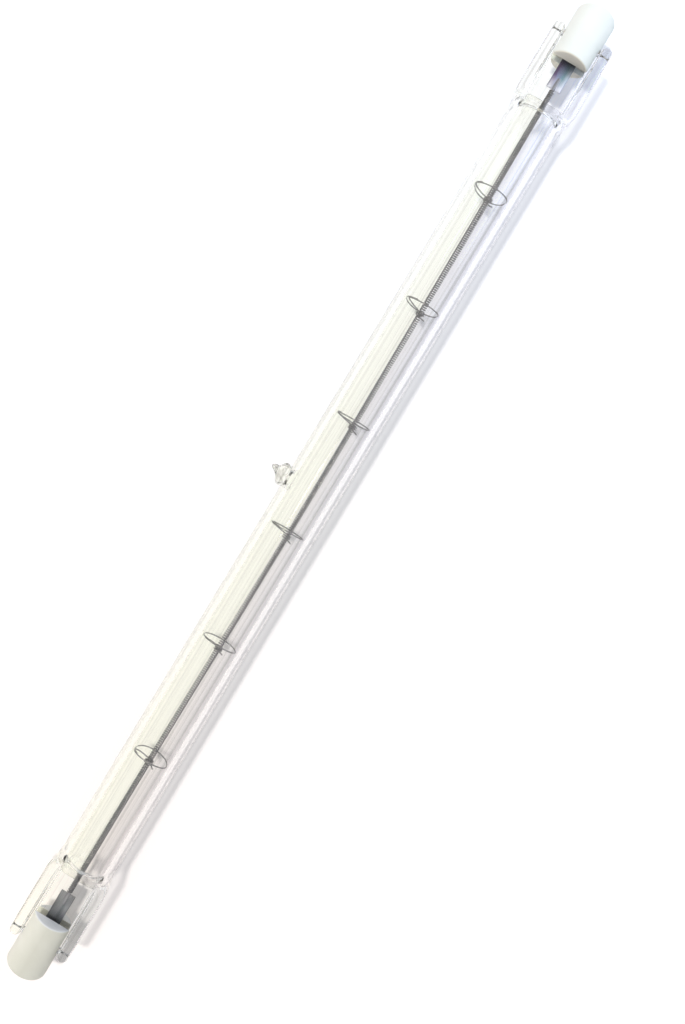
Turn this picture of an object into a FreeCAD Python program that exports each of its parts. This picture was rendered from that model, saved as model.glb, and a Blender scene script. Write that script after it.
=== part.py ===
import FreeCAD, Part
import math
import os

from FreeCAD import Vector

# A double-ended linear halogen lamp with recessed-contact ceramic caps, lying on its side.
# Units are millimetres. The origin is the middle of the quartz tube's axis, +X runs along
# the lamp, +Y points at the sealed exhaust tip and +Z is up. The lamp rests on the
# underside of its tube. The two ends are alike, and the right-hand one is at +X.

# Overall
overall_length = 189.1        # over the two ceramic ends

# Quartz tube
tube_diameter = 10.0
tube_wall = 1.5

# Pinch seal: a flat web between the two rounded wings that the press leaves
wing_end_setback = 5.0        # ceramic end back to the ends of the wings
pinch_length = 12.2           # ends of the wings back to where the web is fully flat
shoulder_length = 4.2         # round tube to flat web
web_thickness = 2.2
web_fillet = 0.45             # in the corner between web and wing
wing_to_cap_gap = 0.05
wing_width = 2.0
wing_height = 5.2
wing_edge_radius = 0.95       # rounding of a wing's outer long edges
wing_nose_radius = 1.4        # rounding of a wing's end, seen from the side

# Cavity where the press closes it, inside the shoulder
cavity_end_gap = 0.3          # end of the cavity to the fully flat web
cavity_end_width = 5.4
cavity_end_height = 0.5
cavity_spread = 0.75          # how far the closing cavity bulges sideways

# Sealed exhaust tip, at the middle of the tube
tip_height = 3.1              # above the outside of the tube
tip_diameter = 4.4
tip_neck_diameter = 3.9       # where the tip leaves the tube
tip_nipple_diameter = 1.3     # where the tubulation was drawn off
tip_lean = 10.0               # degrees towards +X
tip_hollow_diameter = 3.6     # hollow under the tip, where it opens into the tube
tip_hollow_depth = 1.6        # from the inside of the tube wall

# Leads and sealing foil
lead_diameter = 0.6
foil_width = 2.7
foil_thickness = 0.03
foil_edge_bevel = 0.35        # feathered long edges
foil_length = 7.6
foil_to_web_end = 1.0
weld_length = 2.0             # lead laid over the foil at each end
weld_flat_depth = 0.03        # how much of the lead is flattened against the foil
lead_in_coil = 5.0            # length of the inner lead screwed into the coil

# Filament coil
coil_wire = 0.23
coil_to_foil = 0.2            # end of the coil to the foil

# Filament supports: tight turns on the coil, a leg and a ring near the tube's wall
support_count = 6
support_left_margin = 19.2    # tube's straight end to the first support
support_right_margin = 14.2   # last support to the tube's other straight end
support_wire = 0.3
support_wire_sides = 5        # facets around the thin wire
support_wall_gap = 0.3        # ring to tube wall
support_grip_gap = 0.02       # tight turns to coil
support_tight_turns = 2.25
support_turn_gap = 0.05       # between neighbouring tight turns
support_leg_turns = 0.36
support_leg_advance = 0.55
support_ring_turns = 1.08
support_ring_gap = 0.1        # between the ring's overlapping ends
support_tail_turns = 0.2
support_tail_rise = 0.75      # how far the cut end stands off the coil
support_tail_advance = 0.9
support_turned = 67.0         # degrees from one support to the next

# Ceramic cap
cap_diameter = 7.2
cap_length = 9.8
cap_end_round = 0.7
cap_prong_chamfer = 0.3
slot_clearance = 0.15         # each side of the web
slot_end_gap = 0.9            # end of the web to the slot's floor
recess_diameter = 4.5
recess_chamfer = 0.35
contact_depth = 1.7           # ceramic end to the contact's face
contact_seat_depth = 0.95     # ledge in the recess to the floor that the contact sits on
contact_seat_gap = 0.05       # contact's head to the wall of its seat

# Contact button, set in the cap and crimped on the outer lead
contact_diameter = 3.8
contact_head = 0.8
contact_flat_diameter = 2.0   # flat middle of the crowned face
contact_crown = 0.15          # fall of the face from its flat to its edge
contact_edge_chamfer = 0.18
contact_shank_diameter = 1.7
contact_shank_gap = 0.05      # shank to its bore in the cap
lead_into_contact = 1.5
lead_fit_gap = 0.02           # lead to its hole in the button

# Cement that holds the cap on the pinch
cement_setback = 0.8          # from the ends of the cap's prongs

# Straight steps that long curves are made in
SHOULDER_STEPS = 4
CAVITY_STEPS = 3
ROUND_STEPS = 2               # in the rounding of a turned edge
TAIL_STEPS = 2
TIGHT_STEPS = 16
LEG_STEPS = 5
RING_STEPS = 13

# The tip's flank: (share of its height, share of the way out from nipple to belly)
TIP_FLANK = ((0.3, 1.0), (0.52, 0.7), (0.66, 0.2))
# The flank of the hollow under it: (share of its depth, share of its mouth)
HOLLOW_FLANK = ((0.4, 0.48),)
HOLLOW_END = 0.2              # share of its mouth at its blunt point

# Worked out from the sizes above
half_length = overall_length / 2
tube_radius = tube_diameter / 2
bore_radius = tube_radius - tube_wall
cap_radius = cap_diameter / 2
cap_inner_x = half_length - cap_length
wing_end_x = half_length - wing_end_setback
web_flat_x = wing_end_x - pinch_length
tube_end_x = web_flat_x - shoulder_length
cavity_end_x = web_flat_x - cavity_end_gap
web_half = web_thickness / 2
web_end_x = wing_end_x - wing_width / 2
wing_inner_y = cap_radius + wing_to_cap_gap
wing_outer_y = wing_inner_y + wing_width
wing_top_z = wing_height / 2
foil_outer_x = web_end_x - foil_to_web_end
foil_inner_x = foil_outer_x - foil_length
lead_radius = lead_diameter / 2
foil_top_z = weld_flat_depth - lead_radius
coil_radius = lead_radius + coil_wire
coil_end_x = foil_inner_x - coil_to_foil
slot_floor_x = web_end_x + slot_end_gap
contact_face_x = half_length - contact_depth
recess_floor_x = contact_face_x - contact_head
recess_ledge_x = recess_floor_x + contact_seat_depth
ring_radius = bore_radius - support_wall_gap - support_wire / 2
tight_half_step = math.pi * support_tight_turns / TIGHT_STEPS
grip_radius = (coil_radius + support_grip_gap + support_wire / 2) / math.cos(tight_half_step)

# Directions on the round tube whose points become the ends of the pinch's edges
PRESS_ANGLES = (90.0, 52.0, 45.0, 24.0, 13.0, 0.0)
CAVITY_ANGLES = (90.0, 45.0, 0.0)
LAP = 1.2                     # straight stretch at each end of the shoulder's loft
OVERRUN = 1.0                 # how far a cutter runs past what it cuts
TOUCH = 1e-6                  # closer than this, two points are one
STRAIGHT = 1e-4               # with less sag than this, an arc is drawn as a line
DIAGONAL = math.sqrt(0.5)
ORIGIN = Vector(0, 0, 0)
X_AXIS = Vector(1, 0, 0)
Y_AXIS = Vector(0, 1, 0)
Z_AXIS = Vector(0, 0, 1)


def bar_x(radius, x_from, x_to):
    """A round bar along X."""
    return Part.makeCylinder(radius, x_to - x_from, Vector(x_from, 0, 0), X_AXIS)


def block(x_from, x_to, half_y, half_z):
    """A block centred on the axis."""
    low = Vector(x_from, -half_y, -half_z)
    return Part.makeBox(x_to - x_from, 2 * half_y, 2 * half_z, low)


def mirrored(shape):
    """The same piece at the left-hand end."""
    return shape.mirror(ORIGIN, X_AXIS)


def ease(share):
    """A smooth step from 0 to 1."""
    return share * share * (3 - 2 * share)


def line(start, end):
    return Part.LineSegment(start, end).toShape()


def arc(start, middle, end):
    """An arc through three points, or a line where they lie in line."""
    chord = end - start
    sag = (middle - start).cross(chord).Length / chord.Length
    if sag < STRAIGHT:
        return line(start, end)
    return Part.Arc(start, middle, end).toShape()


# Cross-sections across the lamp's axis, given as the edges of one quarter

def round_quarter(half_y, half_z, splits):
    """(start, middle, end) of each edge of a quarter ellipse, from the top to the side."""
    quarter = []
    for first, last in zip(splits, splits[1:]):
        turns = [math.radians(a) for a in (first, (first + last) / 2, last)]
        quarter.append([(half_y * math.cos(t), half_z * math.sin(t)) for t in turns])
    return quarter


def pinch_quarter(grown=0.0):
    """A quarter of the pinch's section: web, fillet, wing top, wing edge, wing side."""
    foot_y = wing_inner_y - web_fillet
    foot_z = web_half + web_fillet
    inner_radius = web_fillet - grown
    side_y = wing_inner_y - grown
    web_z = web_half + grown
    crest_y = wing_outer_y - wing_edge_radius
    edge_z = wing_top_z - wing_edge_radius
    crown_y, crown_z = crest_y - side_y, wing_top_z - foot_z
    return [
        [(0, web_z), (foot_y / 2, web_z), (foot_y, web_z)],
        [
            (foot_y, web_z),
            (foot_y + inner_radius * DIAGONAL, foot_z - inner_radius * DIAGONAL),
            (side_y, foot_z),
        ],
        [
            (side_y, foot_z),
            (crest_y - crown_y * DIAGONAL, foot_z + crown_z * DIAGONAL),
            (crest_y, wing_top_z),
        ],
        [
            (crest_y, wing_top_z),
            (crest_y + wing_edge_radius * DIAGONAL, edge_z + wing_edge_radius * DIAGONAL),
            (wing_outer_y, edge_z),
        ],
        [(wing_outer_y, edge_z), (wing_outer_y, edge_z / 2), (wing_outer_y, 0)],
    ]


def between(soft, hard, share):
    """A quarter section on the way from one form to another."""
    quarter = []
    for a_edge, b_edge in zip(soft, hard):
        points = []
        for (a_y, a_z), (b_y, b_z) in zip(a_edge, b_edge):
            points.append((a_y + (b_y - a_y) * share, a_z + (b_z - a_z) * share))
        quarter.append(points)
    return quarter


def section(x, quarter):
    """The closed outline at x that the quarter and its three mirror images make."""
    reverse = [list(reversed(edge)) for edge in reversed(quarter)]
    edges = []
    for part, sign_y, sign_z in (
        (quarter, 1, 1),
        (reverse, 1, -1),
        (quarter, -1, -1),
        (reverse, -1, 1),
    ):
        for edge in part:
            edges.append(arc(*[Vector(x, sign_y * y, sign_z * z) for y, z in edge]))
    return Part.Wire(edges)


# Quartz envelope

def shoulder():
    """The round tube flowing into the web and wings."""
    soft = round_quarter(tube_radius, tube_radius, PRESS_ANGLES)
    hard = pinch_quarter()
    wires = [section(tube_end_x - LAP, soft)]
    for step in range(SHOULDER_STEPS + 1):
        share = step / SHOULDER_STEPS
        x = tube_end_x + shoulder_length * share
        wires.append(section(x, between(soft, hard, ease(share))))
    wires.append(section(web_flat_x + LAP, hard))
    return Part.makeLoft(wires, True, True)


def rounded_end(x_from, x_to, half_y, half_z, radius):
    """A block whose far end is rounded above and below."""
    shape = block(x_from, x_to, half_y, half_z)
    edges = []
    for edge in shape.Edges:
        middle = edge.CenterOfMass
        if abs(middle.x - x_to) < TOUCH and abs(middle.y) < TOUCH:
            edges.append(edge)
    return shape.makeFillet(radius, edges)


def pinch():
    """Web and wings past the shoulder. The wings' ends are round from above and the side."""
    x_from = web_flat_x + LAP
    bar = Part.Face(section(x_from, pinch_quarter())).extrude(X_AXIS * (wing_end_x - x_from))
    plan = block(x_from, web_end_x, wing_outer_y + OVERRUN, wing_height)
    for side in (-1, 1):
        nose_y = side * (wing_inner_y + wing_width / 2)
        foot = Vector(web_end_x, nose_y, -wing_height)
        plan = plan.fuse(Part.makeCylinder(wing_width / 2, 2 * wing_height, foot))
    outline = rounded_end(
        x_from, wing_end_x, wing_outer_y + OVERRUN, wing_top_z, wing_nose_radius
    )
    return bar.common(plan).common(outline)


def closing_cavity():
    """The cavity where the press flattens it to a slit."""
    start = round_quarter(bore_radius, bore_radius, CAVITY_ANGLES)
    wires = [section(tube_end_x - LAP, start)]
    for step in range(CAVITY_STEPS):
        share = ease(step / CAVITY_STEPS)
        half_y = bore_radius + cavity_spread * share
        half_z = bore_radius + (cavity_end_height - bore_radius) * share
        x = tube_end_x + (cavity_end_x - tube_end_x) * step / CAVITY_STEPS
        wires.append(section(x, round_quarter(half_y, half_z, CAVITY_ANGLES)))
    end = round_quarter(cavity_end_width / 2, cavity_end_height / 2, CAVITY_ANGLES)
    wires.append(section(cavity_end_x, end))
    return Part.makeLoft(wires, True, True)


def rounded_corner(x_from, y_from, x_to, y_to, leaving_along_x):
    """Points of a quarter round between two points, in a few straight steps."""
    points = []
    for step in range(ROUND_STEPS + 1):
        turn = math.radians(90 * step / ROUND_STEPS)
        run, rise = 1 - math.cos(turn), math.sin(turn)
        if leaving_along_x:
            run, rise = rise, run
        points.append(Vector(x_from + (x_to - x_from) * run, y_from + (y_to - y_from) * rise, 0))
    return points


def turned(points, axis):
    """A solid of revolution from the corners of its profile in X and Y."""
    outline = Part.makePolygon(points + points[:1])
    return Part.Face(outline).revolve(ORIGIN, axis, 360)


def turned_about_y(flank, end_radius, top_y):
    """A turned solid along Y: a flank up from the axis, closed by a round end."""
    end = rounded_corner(end_radius, top_y - end_radius, 0, top_y, False)
    return turned([Vector(0, flank[0].y, 0)] + flank + end, Y_AXIS)


def tip_outside():
    """The fused stub of the exhaust tubulation, a dome drawn out to a leaning nipple."""
    neck, belly, nipple = tip_neck_diameter / 2, tip_diameter / 2, tip_nipple_diameter / 2
    flank = [Vector(neck, bore_radius + tube_wall / 2, 0)]
    for rise, out in TIP_FLANK:
        flank.append(Vector(nipple + (belly - nipple) * out, tube_radius + tip_height * rise, 0))
    stub = turned_about_y(flank, nipple, tube_radius + tip_height)
    stub.rotate(Vector(0, tube_radius, 0), Z_AXIS, -tip_lean)
    return stub


def tip_hollow():
    """The hollow that the tubulation leaves under the tip, narrowing to a blunt point."""
    mouth = tip_hollow_diameter / 2
    flank = [Vector(mouth, bore_radius - OVERRUN, 0)]
    for rise, out in HOLLOW_FLANK:
        flank.append(Vector(mouth * out, bore_radius + tip_hollow_depth * rise, 0))
    return turned_about_y(flank, mouth * HOLLOW_END, bore_radius + tip_hollow_depth)


def quartz_envelope(pieces_in_glass):
    """Two mirrored halves moulded round the coil's ends, leads and foils, and the tip."""
    lap_x = tube_end_x - LAP
    half = bar_x(tube_radius, 0, lap_x).multiFuse([shoulder(), pinch()])
    half = half.cut(bar_x(bore_radius, 0, lap_x).fuse(closing_cavity()))
    for piece in pieces_in_glass:
        half = half.cut(piece)
    glass = half.fuse(mirrored(half)).removeSplitter()
    return glass.fuse(tip_outside()).cut(tip_hollow())


# Filament, leads and foils

def filament_coil():
    """The coil's closely wound turns, as one sleeve of their outer and inner size."""
    sleeve = bar_x(coil_radius, -coil_end_x, coil_end_x)
    return sleeve.cut(bar_x(lead_radius, -coil_end_x - OVERRUN, coil_end_x + OVERRUN))


def coil_space():
    """The room that the coil takes up in the glass, with whatever is inside it."""
    return bar_x(coil_radius, -coil_end_x, coil_end_x)


def flattened(lead, x_from, x_to):
    """A lead whose underside is pressed flat where it lies on the foil."""
    depth = lead_diameter
    low = Vector(x_from, -depth, foil_top_z - depth)
    return lead.cut(Part.makeBox(x_to - x_from, 2 * depth, depth, low))


def inner_lead():
    weld_end = foil_inner_x + weld_length
    lead = bar_x(lead_radius, coil_end_x - lead_in_coil, weld_end)
    return flattened(lead, foil_inner_x, weld_end)


def outer_lead():
    weld_start = foil_outer_x - weld_length
    lead = bar_x(lead_radius, weld_start, slot_floor_x + lead_into_contact)
    return flattened(lead, weld_start, foil_outer_x)


def sealing_foil():
    """The thin foil under the leads, with its long edges etched to a feather."""
    half = foil_width / 2
    flat = half - foil_edge_bevel
    middle_z = foil_top_z - foil_thickness / 2
    bottom_z = foil_top_z - foil_thickness
    outline = [
        (-half, middle_z),
        (-flat, foil_top_z),
        (flat, foil_top_z),
        (half, middle_z),
        (flat, bottom_z),
        (-flat, bottom_z),
        (-half, middle_z),
    ]
    wire = Part.makePolygon([Vector(foil_inner_x, y, z) for y, z in outline])
    return Part.Face(wire).extrude(X_AXIS * foil_length)


def support_point(turn):
    """(advance, radius) of the support's wire after so many turns from its cut end."""
    pitch = support_wire + support_turn_gap
    ring_pitch = support_wire + support_ring_gap
    if turn < support_tail_turns:
        share = 1 - turn / support_tail_turns
        return -support_tail_advance * share, grip_radius + support_tail_rise * share ** 2
    turn -= support_tail_turns
    if turn < support_tight_turns:
        return pitch * turn, grip_radius
    advance = pitch * support_tight_turns
    turn -= support_tight_turns
    if turn < support_leg_turns:
        share = ease(turn / support_leg_turns)
        radius = grip_radius + (ring_radius - grip_radius) * share
        return advance + support_leg_advance * share, radius
    turn -= support_leg_turns
    return advance + support_leg_advance + ring_pitch * turn, ring_radius


def support_path(x_start, turned):
    """Points along the middle of one support's wire."""
    turns = [0.0]
    for length, count in (
        (support_tail_turns, TAIL_STEPS),
        (support_tight_turns, TIGHT_STEPS),
        (support_leg_turns, LEG_STEPS),
        (support_ring_turns, RING_STEPS),
    ):
        start = turns[-1]
        turns += [start + length * (step + 1) / count for step in range(count)]
    path = []
    for turn in turns:
        advance, radius = support_point(turn)
        angle = 2 * math.pi * turn + math.radians(turned)
        path.append(
            Vector(x_start + advance, radius * math.cos(angle), radius * math.sin(angle))
        )
    return path


def filament_support(x_start, turned):
    """One support: a single wire led along its tail, tight turns, leg and ring."""
    path = support_path(x_start, turned)
    sections = []
    for index, point in enumerate(path):
        along = path[min(index + 1, len(path) - 1)] - path[max(index - 1, 0)]
        along.normalize()
        across = along.cross(Vector(0, point.y, point.z))
        across.normalize()
        outward = across.cross(along)
        corners = []
        for side in range(support_wire_sides + 1):
            angle = 2 * math.pi * (side % support_wire_sides) / support_wire_sides
            offset = outward * math.cos(angle) + across * math.sin(angle)
            corners.append(point + offset * (support_wire / 2))
        sections.append(Part.makePolygon(corners))
    return Part.makeLoft(sections, True, True)


def filament_supports():
    first_x = support_left_margin - tube_end_x
    last_x = tube_end_x - support_right_margin
    supports = []
    for index in range(support_count):
        x = first_x + (last_x - first_x) * index / (support_count - 1)
        supports.append(filament_support(x, support_turned * index))
    return supports


# Ends

def ceramic_cap():
    """A ceramic barrel with a stepped contact recess and a slot that straddles the web."""
    shank_bore = contact_shank_diameter / 2 + contact_shank_gap
    recess = recess_diameter / 2
    seat = contact_diameter / 2 + contact_seat_gap
    prong = cap_inner_x + cap_prong_chamfer
    round_x = half_length - cap_end_round
    points = [
        Vector(cap_inner_x, shank_bore, 0),
        Vector(cap_inner_x, cap_radius - cap_prong_chamfer, 0),
        Vector(prong, cap_radius, 0),
    ]
    points += rounded_corner(round_x, cap_radius, half_length, cap_radius - cap_end_round, True)
    points += [
        Vector(half_length, recess + recess_chamfer, 0),
        Vector(half_length - recess_chamfer, recess, 0),
        Vector(recess_ledge_x, recess, 0),
        Vector(recess_ledge_x, seat, 0),
        Vector(recess_floor_x, seat, 0),
        Vector(recess_floor_x, shank_bore, 0),
    ]
    barrel = turned(points, X_AXIS)
    x_from = cap_inner_x - OVERRUN
    slot = Part.Face(section(x_from, pinch_quarter(slot_clearance)))
    return barrel.cut(slot.extrude(X_AXIS * (slot_floor_x - x_from)))


def contact_button():
    """A crowned head in the cap's recess, on a shank that is crimped on the outer lead."""
    head = contact_diameter / 2
    shank = contact_shank_diameter / 2
    hole = lead_radius + lead_fit_gap
    hole_end_x = slot_floor_x + lead_into_contact
    rim_x = contact_face_x - contact_crown
    points = [
        Vector(slot_floor_x, hole, 0),
        Vector(hole_end_x, hole, 0),
        Vector(hole_end_x, 0, 0),
        Vector(contact_face_x, 0, 0),
        Vector(contact_face_x, contact_flat_diameter / 2, 0),
        Vector(rim_x, head - contact_edge_chamfer, 0),
        Vector(rim_x - contact_edge_chamfer, head, 0),
        Vector(recess_floor_x, head, 0),
        Vector(recess_floor_x, shank, 0),
        Vector(slot_floor_x, shank, 0),
    ]
    return turned(points, X_AXIS)


def cap_cement():
    """Cement between the web and the cap's prongs, and past the web's end."""
    half_width = wing_inner_y - web_fillet
    filling = block(
        cap_inner_x + cement_setback, slot_floor_x, half_width, web_half + slot_clearance
    )
    web = block(cap_inner_x, web_end_x, half_width + OVERRUN, web_half)
    return filling.cut([web, bar_x(lead_radius, web_end_x, slot_floor_x)])


def main():
    ends = {
        "inner_lead": inner_lead(),
        "sealing_foil": sealing_foil(),
        "outer_lead": outer_lead(),
        "cap_cement": cap_cement(),
        "ceramic_cap": ceramic_cap(),
        "contact_button": contact_button(),
    }
    parts = {"filament_coil": filament_coil()}
    for name, shape in ends.items():
        parts[name + "_right"] = shape
        parts[name + "_left"] = mirrored(shape)
    for number, shape in enumerate(filament_supports(), 1):
        parts[f"filament_support_{number}"] = shape
    in_glass = [coil_space(), ends["inner_lead"], ends["sealing_foil"], ends["outer_lead"]]
    parts["quartz_envelope"] = quartz_envelope(in_glass)
    os.makedirs("parts", exist_ok=True)
    for name, shape in parts.items():
        shape.exportStep(f"parts/{name}.step")


main()
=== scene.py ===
import math

import bmesh
import bpy
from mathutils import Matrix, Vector, noise


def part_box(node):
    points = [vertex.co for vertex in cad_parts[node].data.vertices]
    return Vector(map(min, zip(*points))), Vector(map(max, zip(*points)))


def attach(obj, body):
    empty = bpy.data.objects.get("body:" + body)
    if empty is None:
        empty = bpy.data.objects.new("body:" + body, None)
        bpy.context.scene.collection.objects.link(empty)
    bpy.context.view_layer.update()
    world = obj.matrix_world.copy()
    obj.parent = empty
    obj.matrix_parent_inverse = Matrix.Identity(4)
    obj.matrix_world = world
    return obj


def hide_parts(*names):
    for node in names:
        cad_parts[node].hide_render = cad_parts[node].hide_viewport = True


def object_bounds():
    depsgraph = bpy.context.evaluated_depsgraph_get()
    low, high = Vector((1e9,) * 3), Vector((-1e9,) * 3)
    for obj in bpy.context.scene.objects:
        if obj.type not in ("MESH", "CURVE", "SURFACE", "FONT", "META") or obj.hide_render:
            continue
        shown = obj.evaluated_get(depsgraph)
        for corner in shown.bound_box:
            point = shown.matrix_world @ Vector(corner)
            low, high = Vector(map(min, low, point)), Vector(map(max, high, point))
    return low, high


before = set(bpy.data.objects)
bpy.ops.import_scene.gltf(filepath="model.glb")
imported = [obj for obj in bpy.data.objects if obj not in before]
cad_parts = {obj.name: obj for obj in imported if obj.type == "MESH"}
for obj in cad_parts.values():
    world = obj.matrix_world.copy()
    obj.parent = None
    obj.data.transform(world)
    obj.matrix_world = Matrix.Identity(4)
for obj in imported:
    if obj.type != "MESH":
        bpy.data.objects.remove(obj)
cad_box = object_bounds()

# A clear quartz lamp on a white sheet. Sizes are in millimetres unless a name says otherwise.
MM = 0.001
BODY = "root"


def node_box(name):
    """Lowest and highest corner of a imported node."""
    low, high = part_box(name)
    return Vector(low) / MM, Vector(high) / MM


glass_low, glass_high = node_box("quartz_envelope")
cap_low, cap_high = node_box("ceramic_cap_right")
contact_low, contact_high = node_box("contact_button_right")
foil_low, foil_high = node_box("sealing_foil_right")
coil_high = node_box("filament_coil")[1]
cement_high = node_box("cap_cement_right")[1]

# Quartz envelope
tube_radius = glass_high.z
tube_wall = 1.5
bore_radius = tube_radius - tube_wall
wing_end_x = glass_high.x
wing_outer_y = -glass_low.y
wing_width = 2.0
wing_top_z = 2.6
wing_edge_radius = 0.95
wing_nose_radius = 1.4
nose_bluntness = 0.5          # 1 is a round nose, and less is squarer
nose_fall = 0.5               # share of the nose's rounding that lowers it
nose_turn = 87                # degrees, just short of the point where the nose has no width
pinch_length = 12.2
shoulder_length = 4.2
web_half = 1.1
web_fillet = 0.45
cavity_end_gap = 0.3
cavity_end_y = 2.7
cavity_end_z = 0.25
cavity_spread = 0.75
cavity_hold = 6               # the hollow keeps its spread until close to its end
web_flat_x = wing_end_x - pinch_length
tube_end_x = web_flat_x - shoulder_length
cavity_end_x = web_flat_x - cavity_end_gap
wing_inner_y = wing_outer_y - wing_width
web_end_x = wing_end_x - wing_width / 2

# Unevenness of the glass, and its waves a millimetre on each axis
drawn_unevenness = 0.012      # of the whole outside
drawn_waves = (0.05, 1.6, 1.6)
pressed_unevenness = 0.05     # more where the press has been
pressed_waves = (0.55, 0.5, 0.5)
cavity_unevenness = 0.05      # share of the hollow's size, at its ends
cavity_waves = (0.9, 0.8, 0.8)

# The fused end of the exhaust tubulation, and the hollow under it
tip_height = 3.0
tip_lean = 0.55               # of the nipple, towards +X
tip_root = (0.7, 1.9)         # past the tube's bore, and radius there
tip_outline = (               # share of the height, radius
    (-0.08, 2.0), (0.05, 2.08), (0.16, 2.18), (0.28, 2.15), (0.4, 1.85), (0.5, 1.4),
    (0.58, 1.02), (0.66, 0.76), (0.76, 0.62), (0.86, 0.5), (0.94, 0.34), (0.99, 0.14),
)
tip_fold_count = 5
tip_fold_turn = 0.6           # radians
tip_fold_depth = 0.12         # share of the radius, as the next three are
tip_lump_depth = 0.22
tip_facet_depth = 0.1
tip_slimming = 0.09
tip_lump_waves = (0.9, 1.1, 0.9)
tip_facet_waves = (2.4, 2.0, 2.4)
tip_space_depth = 1.6
tip_space_root = (0.8, 1.8)   # short of the tube's bore, and radius there
tip_space_outline = (         # share of the depth, radius
    (0.0, 1.45), (0.15, 1.18), (0.35, 0.86), (0.6, 0.56), (0.82, 0.32), (0.95, 0.15),
)

# Caps, with a recess in each end and a seat of its own for the contact
cap_inner_round = 0.3
cap_end_round = 0.7
shank_bore = 0.9
recess_radius = 2.25
mouth_chamfer = 0.35
recess_depth = 2.5
contact_seat_depth = 0.95
contact_seat_gap = 0.05
floor_x = cap_high.x - recess_depth
ledge_x = floor_x + contact_seat_depth
seat_radius = contact_high.y + contact_seat_gap
contact_crown = 0.15
contact_edge_round = 0.18
contact_shank = 0.85
lead_hole = 0.32
lead_hole_end_x = 90.95

# Filament
coil_radius = coil_high.y
coil_end_x = coil_high.x
coil_wire = 0.23
coil_pitch = 0.39
coil_sag = 0.45
sag_left_fullness = 2.0       # less is fuller
sag_right_fullness = 0.7
support_count = 6
support_wire = 0.21
support_grip_gap = 0.03
support_wall_gap = 0.26
support_tail = 0.9            # length of the solid's tail along the coil
support_shifts = (0.0, 0.0, -0.3, -1.2, -1.2, -1.3)              # from even spacing
support_angles = (168.0, 196.0, 181.0, 160.0, 188.0, 172.0)      # degrees, of each tail

# The run of a support's wire: a tail, tight turns on the coil, a leg and a ring in the tube
tail_turns = 0.2
tail_advance = 0.35
tail_rise = 0.55
tight_turns = 2.25
tight_pitch = 0.35
leg_turns = 0.14
leg_advance = 0.55
ring_turns = 1.08
ring_pitch = 0.12

# Foils
foil_feather = 0.35
foil_pale_x = (80.2, 82.4)    # from the pale end to the oxide colours
foil_dark_x = (82.6, 85.6)    # from these to the dark end

# Where the painted light and shade on glass and sheet change
tone_half_x = 90
tone_half_y = 6
painted_pinch_shade_x = (-74, -78)     # from the tube's painted tones to the pinch's darker painted shade
key_side_y = (-1.0, 0.5)      # from the side away from the key to its own

# Camera, fitted to the photograph
CAMERA_HEIGHT = 140.0
AXIS_SCALE = 5.855            # pixels a millimetre on the lamp's axis
AXIS_TILT = 58.93             # degrees of +X above the picture's horizontal
PICTURE = (685, 1024)         # pixels
LAMP_CENTRE = (310.9, 491.5)  # pixels from the top left
SENSOR = 36.0
CLIP_M = (0.01, 10.0)

# Light and stage
KEY_STRENGTH = 1.95
KEY_COLOUR = (1.0, 0.96, 0.9)
KEY_SPREAD = 8                # degrees
KEY_LEAN = -18                # degrees about X
FILL_POWER = 0.14
FILL_COLOUR = (0.72, 0.86, 1.0)
FILL_SIZE = 150
FILL_PLACE = (200, -130, 120)
FILL_AIM = (90, 0, 0)
SKY_STRENGTH = 0.45
GLASS_BOUNCES = 24
SHEET_HALF_M = 1.5


# Small helpers

def ease(share):
    return share * share * (3 - 2 * share)


def add_object(name, data):
    piece = bpy.data.objects.new(name, data)
    bpy.context.scene.collection.objects.link(piece)
    return piece


def mesh_object(name, points, faces, smooth=True):
    """A mesh piece from points in millimetres."""
    mesh = bpy.data.meshes.new(name)
    mesh.from_pydata([Vector(p) * MM for p in points], [], faces)
    mesh.validate()
    mesh.update()
    if smooth:
        mesh.shade_smooth()
    else:
        mesh.shade_flat()
    return add_object(name, mesh)


def face_outwards(piece, merge=None):
    """Turns the faces outwards. Points closer than merge, in metres, are joined first."""
    mesh = bmesh.new()
    mesh.from_mesh(piece.data)
    if merge:
        bmesh.ops.remove_doubles(mesh, verts=mesh.verts, dist=merge)
        loose = [edge for edge in mesh.edges if not edge.link_faces]
        bmesh.ops.delete(mesh, geom=loose, context="EDGES")
    bmesh.ops.recalc_face_normals(mesh, faces=mesh.faces)
    mesh.to_mesh(piece.data)
    mesh.free()
    return piece


def sharpen(piece, degrees):
    """Smooth shading that keeps edges sharper than so many degrees."""
    mesh = bmesh.new()
    mesh.from_mesh(piece.data)
    for edge in mesh.edges:
        faces = edge.link_faces
        if len(faces) == 2:
            edge.smooth = faces[0].normal.angle(faces[1].normal, 0) < math.radians(degrees)
    mesh.to_mesh(piece.data)
    mesh.free()


def boolean(piece, tool, operation):
    """Applies a boolean with a tool, which is then removed."""
    modifier = piece.modifiers.new("cut", "BOOLEAN")
    modifier.operation = operation
    modifier.solver = "EXACT"
    modifier.object = tool
    depsgraph = bpy.context.evaluated_depsgraph_get()
    mesh = bpy.data.meshes.new_from_object(piece.evaluated_get(depsgraph))
    piece.modifiers.clear()
    piece.data = mesh
    bpy.data.objects.remove(tool)
    return piece


def rings_mesh(rings, closed=True):
    """Points and faces of a skin through rings of equal length, closed at both ends or open."""
    count = len(rings[0])
    points = [p for ring in rings for p in ring]
    faces = []
    for row in range(len(rings) - 1):
        for column in range(count):
            after = (column + 1) % count
            a, b = row * count + column, row * count + after
            faces.append((a, b, b + count, a + count))
    if closed:
        faces.append(tuple(reversed(range(count))))
        faces.append(tuple(range(len(points) - count, len(points))))
    return points, faces


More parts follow.
